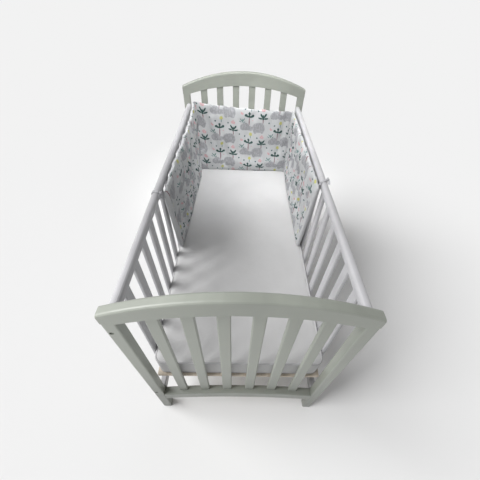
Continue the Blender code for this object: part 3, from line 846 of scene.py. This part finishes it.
DOTS = (
    (-57, -108, 4.4, 4.8, 0),
    (-24, -123, 4.4, 4.8, 0),
    (51, -124, 4.6, 4.8, 0),
)
charted = (GREY, STEMS, GREEN, SPRIG, PINK, YELLOW, FLOWER_STEM, DOTS)
print("shapes in one repeat:", sum(len(part) for part in charted))

# %% [markdown]
# ## The cloth's materials
#
# The real cloth is white cotton, printed in a few inks. A picture could be wrapped round it, but
# nodes stay sharp from any distance and need no file. The ground comes first, and each ink is
# laid over it in turn. A little noise makes the shapes' edges waver, as drawn ones do, and a
# brushed noise lets the ground show through. The weave is two crossed sines, and two bumps give
# small rumples, one of them upright, the way gathered cotton creases. The plain cotton at the
# back shares all but the print.

# %% Materials of the cloth
GROUND = (0.430, 0.440, 0.448)
GREY_INK = (0.245, 0.248, 0.262)
GREEN_INK = (0.016, 0.056, 0.050)
SPRIG_INK = (0.080, 0.165, 0.155)
DOT_INK = (0.040, 0.085, 0.085)
STEM_INK = (0.190, 0.095, 0.110)
PINK_INK = (0.480, 0.265, 0.275)
YELLOW_INK = (0.400, 0.390, 0.100)
PLAIN_CLOTH = (0.465, 0.470, 0.480)
THREAD = 2600.0
WAVER = 0.0045


def nearest_of(tree, place, shapes):
    """How far a place is from the nearest of some ellipses: 1 on a rim, less inside."""
    nearest = None
    for x, y, wide, high, turn_by in shapes:
        inputs = {
            "Vector": place,
            "Location": (x / 1000, y / 1000, 0.0),
            "Rotation": (0.0, 0.0, math.radians(turn_by)),
            "Scale": (wide / 1000, high / 1000, 1.0),
        }
        local = add(tree, "Mapping", inputs, vector_type="TEXTURE").outputs[0]
        away = add(tree, "VectorMath", {0: local}, operation="LENGTH").outputs["Value"]
        nearest = away if nearest is None else math_node(tree, "MINIMUM", nearest, away)
    return nearest


def woven(tree, place):
    """Height of a plain weave: threads over and under each other."""
    parts = add(tree, "SeparateXYZ", {0: place}).outputs
    return math_node(tree, "MULTIPLY", waves(tree, parts[0], THREAD), waves(tree, parts[1], THREAD))


def cloth_shader(tree, shader, place, object_place):
    """Weave, fine rumples and a soft sheen, the same for every cotton here."""
    rumple = noise(tree, object_place, 38.0, 4.0, 0.6)
    drawn_up = noise(tree, squeezed(tree, object_place, (52.0, 52.0, 8.0)), 1.0, 4.0, 0.6)
    threads = woven(tree, place)
    normal = bump(tree, rumple, 0.35, 0.0022, bump(tree, drawn_up, 0.7, 0.0090))
    tree.links.new(bump(tree, threads, 0.20, 0.00025, normal), shader.inputs["Normal"])
    shader.inputs["Sheen Weight"].default_value = 0.12
    shader.inputs["Sheen Roughness"].default_value = 0.5
    return threads


def repeated(tree, value, start, step):
    """Which repeat a length falls in, and its place there."""
    beyond = math_node(tree, "SUBTRACT", value, start)
    number = math_node(tree, "FLOOR", math_node(tree, "DIVIDE", beyond, step))
    return number, math_node(tree, "SUBTRACT", value, math_node(tree, "MULTIPLY", number, step))


def printed_cotton():
    made, tree, shader = new_material("printed_cotton", GROUND, 0.9)
    flat = add(tree, "UVMap", uv_map="print").outputs[0]
    object_place = own_place(tree)
    axes = add(tree, "SeparateXYZ", {0: flat}).outputs
    column, x = repeated(tree, axes[0], REPEAT_LEFT, REPEAT_WIDE)
    dropped = math_node(tree, "MULTIPLY", math_node(tree, "PINGPONG", column, 1.0), REPEAT_HIGH / 2)
    _, y = repeated(tree, math_node(tree, "ADD", axes[1], dropped), REPEAT_LOW, REPEAT_HIGH)
    place = add(tree, "CombineXYZ", {0: x, 1: y}).outputs[0]
    wobble = add(tree, "TexNoise", {"Vector": flat, "Scale": 160.0, "Detail": 2.0}).outputs["Color"]
    wobble = vector_node(tree, "SUBTRACT", wobble, (0.5, 0.5, 0.5))
    drawn = vector_node(tree, "ADD", place, vector_node(tree, "MULTIPLY", wobble, (WAVER, WAVER, 0.0)))
    brush = noise(tree, squeezed(tree, flat, (170.0, 60.0, 1.0)), 1.0, 4.0, 0.65)
    cloud = noise(tree, object_place, 9.0, 3.0)
    color = mixed(tree, ranged(tree, cloud, 0.3, 0.7), shade(GROUND, 0.97), shade(GROUND, 1.03))
    for shapes, ink, thin, soft in (
        (GREY, GREY_INK, 0.42, 0.10),
        (STEMS, STEM_INK, 0.85, 0.25),
        (FLOWER_STEM, SPRIG_INK, 0.8, 0.3),
        (SPRIG, SPRIG_INK, 0.80, 0.20),
        (GREEN, GREEN_INK, 0.95, 0.15),
        (PINK, PINK_INK, 0.60, 0.22),
        (YELLOW, YELLOW_INK, 0.80, 0.20),
        (DOTS, DOT_INK, 0.85, 0.25),
    ):
        away = nearest_of(tree, drawn, shapes)
        mask = ranged(tree, away, 1.0 + soft, 1.0 - soft)
        ink_depth = ranged(tree, brush, 0.30, 0.62, thin, 1.0)
        color = mixed(tree, math_node(tree, "MULTIPLY", mask, ink_depth), color, shade(ink))
    threads = cloth_shader(tree, shader, flat, object_place)
    depth = ranged(tree, threads, -1.0, 1.0, 0.96, 1.03)
    grey = add(tree, "CombineColor", {0: depth, 1: depth, 2: depth}).outputs[0]
    tree.links.new(mixed(tree, 1.0, color, grey, "MULTIPLY"), shader.inputs["Base Color"])
    return made


def plain_cotton(name, color):
    made, tree, shader = new_material(name, color, 0.9)
    object_place = own_place(tree)
    cloth_shader(tree, shader, add(tree, "UVMap", uv_map="print").outputs[0], object_place)
    cloud = noise(tree, object_place, 9.0, 3.0)
    tone = mixed(tree, ranged(tree, cloud, 0.3, 0.7), shade(color, 0.94), shade(color))
    tree.links.new(tone, shader.inputs["Base Color"])
    return made


pad.data.materials.append(printed_cotton())
pad.data.materials.append(plain_cotton("plain_cotton", PLAIN_CLOTH))
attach(pad, "root")
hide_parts("bumper_pad")
print("materials of the bumper:", [look.name for look in pad.data.materials])

# %% [markdown]
# ## The ties
#
# A tie is a narrow tape of woven cotton, sewn to the corner of the bumper. It goes once round the
# rail and is drawn up in a knot, so it is narrowest and most creased there. All of it is made by
# sweeping a flat section along a path. The knot's path is a trefoil, the simplest knot there is:
# a soft round tube along it looks tied from every side, which no bent strip or ball does.

# %% Sweep a section along a path
TAPE_ACROSS = np.array((-1.0, -0.92, -0.55, -0.18, 0.18, 0.55, 0.92, 1.0))
TAPE_HIGH = np.array((0.25, 0.5, 0.5, 0.5, 0.5, 0.5, 0.5, 0.25))
KNOT_SIDES = 12
Swept = namedtuple("Swept", "points faces flat")


def unit(vectors):
    return vectors / np.linalg.norm(vectors, axis=-1, keepdims=True)


def way_of(path, closed):
    ahead = np.roll(path, -1, axis=0) - np.roll(path, 1, axis=0)
    if not closed:
        ahead[0] = path[1] - path[0]
        ahead[-1] = path[-1] - path[-2]
    return unit(ahead)


def corners_round(count, around, closed=False):
    """Ring and place on it for the corners of the faces between neighbouring rings."""
    grids = np.meshgrid(np.arange(count + closed), np.append(np.arange(around), 0), indexing="ij")
    return [quads_on(grid) for grid in grids]


def skinned(rings, closed, v):
    """Faces and map round a row of rings, with flat ends where the row is open."""
    count, around = rings.shape[:2]
    steps = np.linalg.norm(np.diff(rings.mean(axis=1), axis=0), axis=1)
    u = np.concatenate(([0.0], np.cumsum(steps), [steps.sum() + steps[-1]]))
    ring, place = corners_round(count, around, closed)
    faces = (ring % count * around + place).tolist()
    flat = np.stack((u[ring], v[ring[:, :1], place]), axis=-1).tolist()
    if not closed:
        for i in (0, count - 1):
            faces.append(tuple(i * around + k for k in range(around)))
            flat.append(tuple((u[i], v[i, k]) for k in range(around)))
    return Swept(rings.reshape(-1, 3), faces, flat)


def tape_along(path, across, wide, thick, crease, closed=False):
    """A flat tape along a path. across says which way it is wide; crease is the height of its folds."""
    ahead = way_of(path, closed)
    across = unit(across - (across * ahead).sum(axis=1, keepdims=True) * ahead)
    out = np.cross(ahead, across)
    a = np.concatenate((TAPE_ACROSS, TAPE_ACROSS[::-1]))
    b = np.concatenate((-TAPE_HIGH, TAPE_HIGH[::-1]))
    fold = np.cos(4.6 * a) + 0.4 * np.sin(9.0 * a)
    wide = np.broadcast_to(wide, len(path))[:, None]
    lift = b * thick + np.broadcast_to(crease, len(path))[:, None] * fold
    side = a * wide / 2
    rings = path[:, None] + across[:, None] * side[..., None] + out[:, None] * lift[..., None]
    return skinned(rings, closed, side)


def round_along(path, radius, middle):
    """A soft closed tube along a path round a middle."""
    ahead = way_of(path, True)
    out = unit(path - middle)
    across = unit(np.cross(ahead, out))
    out = np.cross(across, ahead)
    turn = np.linspace(0.0, 2 * math.pi, KNOT_SIDES, endpoint=False)
    fluted = radius * (1.0 + 0.10 * np.cos(5 * turn))
    wide, high = (np.cos(turn) * fluted)[:, None], (np.sin(turn) * fluted)[:, None]
    rings = path[:, None] + across[:, None] * wide + out[:, None] * high
    return skinned(rings, True, np.broadcast_to(turn * radius, (len(path), len(turn))))


def from_swept(name, parts, uv_name):
    """One object from swept parts, with a map in metres and faces that point outwards."""
    mesh = bpy.data.meshes.new(name)
    starts = np.cumsum([0] + [len(part.points) for part in parts])
    faces = [[int(k + start) for k in face] for start, part in zip(starts, parts) for face in part.faces]
    mesh.from_pydata(np.concatenate([part.points for part in parts]).tolist(), [], faces)
    mesh.uv_layers.new(name=uv_name)
    flat = np.concatenate([np.array(corner) for part in parts for corner in part.flat])
    mesh.uv_layers[uv_name].data.foreach_set("uv", flat.reshape(-1))
    made = placed(name, mesh)
    bpy.ops.object.select_all(action="DESELECT")
    made.select_set(True)
    bpy.context.view_layer.objects.active = made
    bpy.ops.object.mode_set(mode="EDIT")
    bpy.ops.mesh.select_all(action="SELECT")
    bpy.ops.mesh.normals_make_consistent(inside=False)
    bpy.ops.object.mode_set(mode="OBJECT")
    bpy.ops.object.shade_smooth_by_angle(angle=math.radians(50))
    return made


print("points in a tape's section:", 2 * len(TAPE_ACROSS))

# %% [markdown]
# ## The ties: round the rails
#
# A strap goes once round the rail, a lead joins it to the bumper's corner, and the knot leaves
# one free end or two. A bevelled curve could be the strap, but it wouldn't lie flat on the wood.
# The rail's section is a soft rectangle, a superellipse, so the strap runs round the same curve a
# little further out, and it is narrow where the knot draws it up. The lead turns a quarter on its
# way. A free end comes out of the knot, bends over and falls.

# %% Ties round the rails
TIE_WIDTH = 0.0135
TIE_THICK = 0.0013
TIE_STAND_OFF = 0.0015
DRAWN_UP = 0.40
DRAWN_UP_WITHIN = 42.0
RAIL_SECTION_POWER = 3.2
KNOT_REACH = 0.0050
KNOT_SCALE = (0.00215, 0.00175, 0.0026)
KNOT_TUBE = 0.0021
END_LENGTH = 0.018
END_DROP = 0.010
END_OUT = 0.003
END_WIDTH = 0.009
END_ROOT_WIDTH = 0.0042
END_BEND = 0.0042
LEAD_WIDTH = 0.007
LEAD_ARCH = 0.002
TAPE_CREASE = 0.00012
CREASE_AT_KNOT = 0.00030
STRAP_STEPS = 96
KNOT_STEPS = 120
END_STEPS = 16
LEAD_STEPS = 18
RIGHT, FORWARD, UP = np.eye(3)
Tie = namedtuple("Tie", "name side y slant knot_angle root_x root_z lead_x lead_y lead_z far_end wide_way")
LEFT_TIE = (-1, -0.185, 0.002, 146.0, 0.2935, 0.8330, 0.2868, -0.1672, 0.8100, False, UP)
RIGHT_TIE = (1, -0.092, 0.006, 55.0, 0.2962, 0.8564, 0.2862, -0.1140, 0.8545, True, RIGHT)
TIES = (Tie("tie_left", *LEFT_TIE), Tie("tie_right", *RIGHT_TIE))


def round_rail(row, angle, offset):
    """Points round the rail's section at angles from its outer side, with the way out of it."""
    low, high = (np.array(corner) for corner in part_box(f"side_{row.name[4:]}_top_rail"))
    half_x, half_z = (high - low)[0] / 2 + offset, (high - low)[2] / 2 + offset
    c, s = np.cos(angle), np.sin(angle)
    power = RAIL_SECTION_POWER
    reach = (np.abs(c / half_x) ** power + np.abs(s / half_z) ** power) ** (-1 / power)
    x, z = c * reach, s * reach
    out_x = np.sign(x) * np.abs(x / half_x) ** (power - 1) / half_x
    out_z = np.sign(z) * np.abs(z / half_z) ** (power - 1) / half_z
    far = np.hypot(out_x, out_z)
    middle = (low + high) / 2
    y = row.y + row.slant * c
    place = np.stack((middle[0] + row.side * x, y + 0 * x, middle[2] + z), axis=-1)
    return place, np.stack((row.side * out_x / far, 0 * x, out_z / far), axis=-1)


def strap_of(row):
    """The tape once round the rail, drawn up near its knot."""
    angle = np.linspace(0.0, 2 * math.pi, STRAP_STEPS, endpoint=False)
    away = np.degrees(np.abs((angle - math.radians(row.knot_angle) + math.pi) % (2 * math.pi) - math.pi))
    drawn = np.exp(-((away / DRAWN_UP_WITHIN) ** 2))
    path, _ = round_rail(row, angle, TIE_STAND_OFF)
    across = np.broadcast_to(FORWARD, path.shape)
    crease = TAPE_CREASE + CREASE_AT_KNOT * drawn
    return tape_along(path, across, TIE_WIDTH * (1.0 - DRAWN_UP * drawn), TIE_THICK, crease, closed=True)


def knot_of(row):
    """A trefoil knot on the strap, and its middle."""
    angle = np.array([math.radians(row.knot_angle)])
    surface, out = (part[0] for part in round_rail(row, angle, TIE_STAND_OFF))
    middle = surface + out * (KNOT_REACH + TIE_THICK / 2)
    aside = np.cross(out, FORWARD)
    t = np.linspace(0.0, 2 * math.pi, KNOT_STEPS, endpoint=False)
    ring = 2 + np.cos(3 * t)
    local = np.stack((ring * np.cos(2 * t), ring * np.sin(2 * t), np.sin(3 * t)), axis=-1)
    path = middle + (local * np.array(KNOT_SCALE)) @ np.stack((FORWARD, aside, out))
    return round_along(path, KNOT_TUBE, middle - out * 0.004), middle


def end_of(row, middle, way):
    """A free end: out of the knot, over, and down."""
    t = np.linspace(0.0, 1.0, END_STEPS)[:, None]
    drop = np.array((row.side * END_OUT, way * END_LENGTH, -END_DROP))
    path = middle + drop * t + np.array((row.side * 0.0015, 0.0, END_BEND)) * np.sin(math.pi * t)
    across = UP * (1 - 0.3 * t) + 0.55 * row.side * RIGHT * t
    wide = END_ROOT_WIDTH + (END_WIDTH - END_ROOT_WIDTH) * t[:, 0] ** 0.7
    return tape_along(path, across, wide, TIE_THICK, 0.0004 * (1 - t[:, 0]) + 0.00015)


def lead_of(row):
    """The length from the strap to the bumper's corner, which turns a quarter on its way."""
    t = np.linspace(0.0, 1.0, LEAD_STEPS)[:, None]
    root = np.array((row.side * row.root_x, row.y - row.slant, row.root_z))
    sewn = np.array((row.side * row.lead_x, row.lead_y, row.lead_z))
    path = root + (sewn - root) * t + LEAD_ARCH * UP * np.sin(math.pi * t)
    across = FORWARD * (1 - t) + row.wide_way * t
    return tape_along(path, across, LEAD_WIDTH * (0.75 + 0.25 * t[:, 0]), TIE_THICK, 0.0002)


tie_pieces = []
for row in TIES:
    knot, middle = knot_of(row)
    parts = [strap_of(row), knot, end_of(row, middle, -1.0), lead_of(row)]
    if row.far_end:
        parts.append(end_of(row, middle, 1.0))
    piece = from_swept(f"{row.name}_tape", parts, "tape")
    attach(piece, "root")
    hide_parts(row.name)
    tie_pieces.append(piece)
    print(piece.name, "faces:", len(piece.data.polygons))

# %% [markdown]
# ## The tape's finish
#
# A woven tape has fine ribs across it and a firm edge. A plain colour would do from afar, but
# close up the ribs catch the light. The tape's own map is in metres, so the ribs are a sine along
# it, and the edge is whatever lies far enough from its middle.

# %% Finish of the tape
TAPE_COLOR = (0.450, 0.450, 0.470)
RIB = 5200.0
TAPE_EDGE = (0.0050, 0.0058)


def tape_cotton():
    made, tree, shader = new_material("tie_tape", TAPE_COLOR, 0.88)
    flat = add(tree, "UVMap", uv_map="tape").outputs[0]
    place = own_place(tree)
    parts = add(tree, "SeparateXYZ", {0: flat}).outputs
    ribs = waves(tree, parts[0], RIB)
    edge = ranged(tree, math_node(tree, "ABSOLUTE", parts[1]), *TAPE_EDGE)
    cloud = noise(tree, place, 120.0, 3.0, 0.6)
    tone = mixed(tree, ranged(tree, cloud, 0.32, 0.66), shade(TAPE_COLOR, 0.80), shade(TAPE_COLOR))
    tone = mixed(tree, math_node(tree, "MULTIPLY", edge, 0.6), tone, shade(TAPE_COLOR, 1.10))
    tree.links.new(tone, shader.inputs["Base Color"])
    rumple = bump(tree, noise(tree, place, 260.0, 3.0, 0.6), 0.4, 0.0006)
    tree.links.new(bump(tree, ribs, 0.35, 0.00018, rumple), shader.inputs["Normal"])
    shader.inputs["Sheen Weight"].default_value = 0.2
    return made


tape_look = tape_cotton()
for piece in tie_pieces:
    piece.data.materials.append(tape_look)
print("ribs of the tape per cm:", round(RIB / (2 * math.pi) / 100, 1))

# %% [markdown]
# ## The mattress
#
# A small foam mattress is a block in a sewn cover. Its two faces meet the border in a seam, and a
# rounded cord of the same cloth, the piping, is sewn into that seam. The foam pushes the border
# out a little and crowns the faces. The section below says all of that once: how far in from the
# outline and how high each line of points lies. It is carried round the outline, and the faces
# are closed by rings that shrink to the middle.

# %% Mattress
MATTRESS_CORNER = 0.030
PIPING = 0.0032
SEAM_IN = 0.0075
CROWN = 0.0040
BORDER_BULGE = 0.0012
CORNER_STEPS = 14
SIDE_POINTS = (22, 40)
BORDER_LINES = 7
BEAD_TURNS = (-62, -30, 0, 30, 60, 90, 120, 150)
FACE_RINGS = 30
CROWN_REACH = 0.80
DIMPLE = 0.0005
QUARTERS = ((1, 1), (-1, 1), (-1, -1), (1, -1))
mattress_low, mattress_high = (np.array(corner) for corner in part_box("mattress"))


def outline_at(inset):
    """The mattress's outline, moved in by an inset, as points evenly numbered round it."""
    half = (mattress_high - mattress_low)[:2] / 2 - inset
    radius = max(MATTRESS_CORNER - inset, 0.004)
    points = []
    for quarter, sign in enumerate(QUARTERS):
        turn = quarter * math.pi / 2 + np.linspace(0.0, math.pi / 2, CORNER_STEPS)
        corner = (half - radius) * np.array(sign) + radius * np.stack((np.cos(turn), np.sin(turn)), axis=-1)
        following = (half - radius) * np.array(QUARTERS[(quarter + 1) % 4])
        start = following + radius * np.array((math.cos(turn[-1]), math.sin(turn[-1])))
        shares = np.linspace(0.0, 1.0, SIDE_POINTS[quarter % 2] + 2)[1:-1, None]
        points.extend((corner, corner[-1] + (start - corner[-1]) * shares))
    return np.concatenate(points)


def rim_section():
    """Inset and height of the lines from the border's middle up over the piping to the face."""
    top = mattress_high[2]
    middle = (mattress_low[2] + top) / 2
    rise = np.linspace(0.0, 1.0, BORDER_LINES)
    border = [(BORDER_BULGE * (u**2), middle + (top - middle - 2 * PIPING - 0.0012) * u) for u in rise]
    bead_up = top - PIPING - 0.0006
    turns = np.radians(BEAD_TURNS)
    bead = [(PIPING - PIPING * math.cos(t), bead_up + PIPING * math.sin(t)) for t in turns]
    face = [(SEAM_IN, top - 0.0022), (SEAM_IN + 0.004, top - 0.0006), (SEAM_IN + 0.012, top)]
    return border + bead + face


section = rim_section()
upper = [np.column_stack((outline_at(inset), np.full(len(outline_at(0.0)), z))) for inset, z in section]
inner = upper[-1][:, :2]
for share in np.linspace(1.0, 0.0, FACE_RINGS + 1)[1:-1]:
    swell = CROWN * max(0.0, 1.0 - (share / CROWN_REACH) ** 2)
    dimple = DIMPLE * (np.sin(31 * inner[:, 0] * share) * np.sin(23 * inner[:, 1] * share + 1.0) - 1.0)
    upper.append(np.column_stack((inner * share, mattress_high[2] + swell + dimple)))
middle_z = (mattress_low[2] + mattress_high[2]) / 2
lower = [ring * (1, 1, -1) + (0, 0, 2 * middle_z) for ring in upper[1:]]
rings = np.array(lower[::-1] + upper)
rings[..., 2] = np.maximum(rings[..., 2], mattress_low[2])
count, around = rings.shape[:2]
poles = [(0, 0, rings[end, :, 2].mean()) for end in (0, -1)]
points = np.concatenate((rings.reshape(-1, 3), poles))
ring, place = corners_round(count, around)
faces = (ring * around + place).tolist()
for k in range(around):
    m = (k + 1) % around
    faces.append((m, k, count * around))
    faces.append(((count - 1) * around + k, (count - 1) * around + m, count * around + 1))
mesh = bpy.data.meshes.new("mattress_cover")
mesh.from_pydata(points.tolist(), [], faces)
mattress = placed("mattress_cover", mesh)
mesh.shade_smooth()
first_bead = len(lower) + BORDER_LINES
last_bead = first_bead + len(BEAD_TURNS)
band = ring[:, 0]
on_upper = (band >= first_bead - 1) & (band < last_bead - 1)
on_lower = (band > 2 * len(lower) - last_bead) & (band <= 2 * len(lower) - first_bead)
slots = np.zeros(len(mesh.polygons), dtype=int)
slots[: len(band)] = on_upper | on_lower
mesh.polygons.foreach_set("material_index", slots)
mesh.update()
print("mattress triangles:", sum(len(face.vertices) - 2 for face in mesh.polygons))

# %% [markdown]
# ## The mattress's finish
#
# Ticking is a dense twill, here woven as a herringbone. Bump alone could show its lines, but a
# slight change of tone keeps them in flat light too. They are a sine across a slanted sum of the
# axes, and a folded ramp turns them over in every other stripe. The piping has the same cloth in
# a darker tone.

# %% Finish of the mattress
TICKING = (0.520, 0.518, 0.520)
PIPING_CLOTH = (0.440, 0.438, 0.445)
TWILL = 2100.0
STRIPE = 0.006


def ticking(name, color):
    """Herringbone: twill lines that lean one way in one stripe and the other way in the next."""
    made, tree, shader = new_material(name, color, 0.85)
    place = own_place(tree)
    parts = add(tree, "SeparateXYZ", {0: place}).outputs
    stripe = math_node(tree, "PINGPONG", parts[0], STRIPE)
    lean = math_node(tree, "ADD", math_node(tree, "ADD", stripe, parts[1]), parts[2])
    twill = waves(tree, lean, TWILL)
    cloud = noise(tree, place, 6.0, 3.0)
    rumple = noise(tree, place, 22.0, 4.0, 0.6)
    tone = mixed(tree, ranged(tree, cloud, 0.3, 0.7), shade(color, 0.93), shade(color))
    lined = mixed(tree, ranged(tree, twill, -1.0, 1.0, 0.0, 0.25), tone, shade(color, 0.93))
    tree.links.new(lined, shader.inputs["Base Color"])
    tree.links.new(bump(tree, twill, 0.20, 0.0003, bump(tree, rumple, 0.4, 0.004)), shader.inputs["Normal"])
    shader.inputs["Sheen Weight"].default_value = 0.15
    return made


mesh.materials.append(ticking("mattress_ticking", TICKING))
mesh.materials.append(ticking("mattress_piping", PIPING_CLOTH))
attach(mattress, "root")
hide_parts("mattress")
print("materials of the mattress:", [look.name for look in mesh.materials])
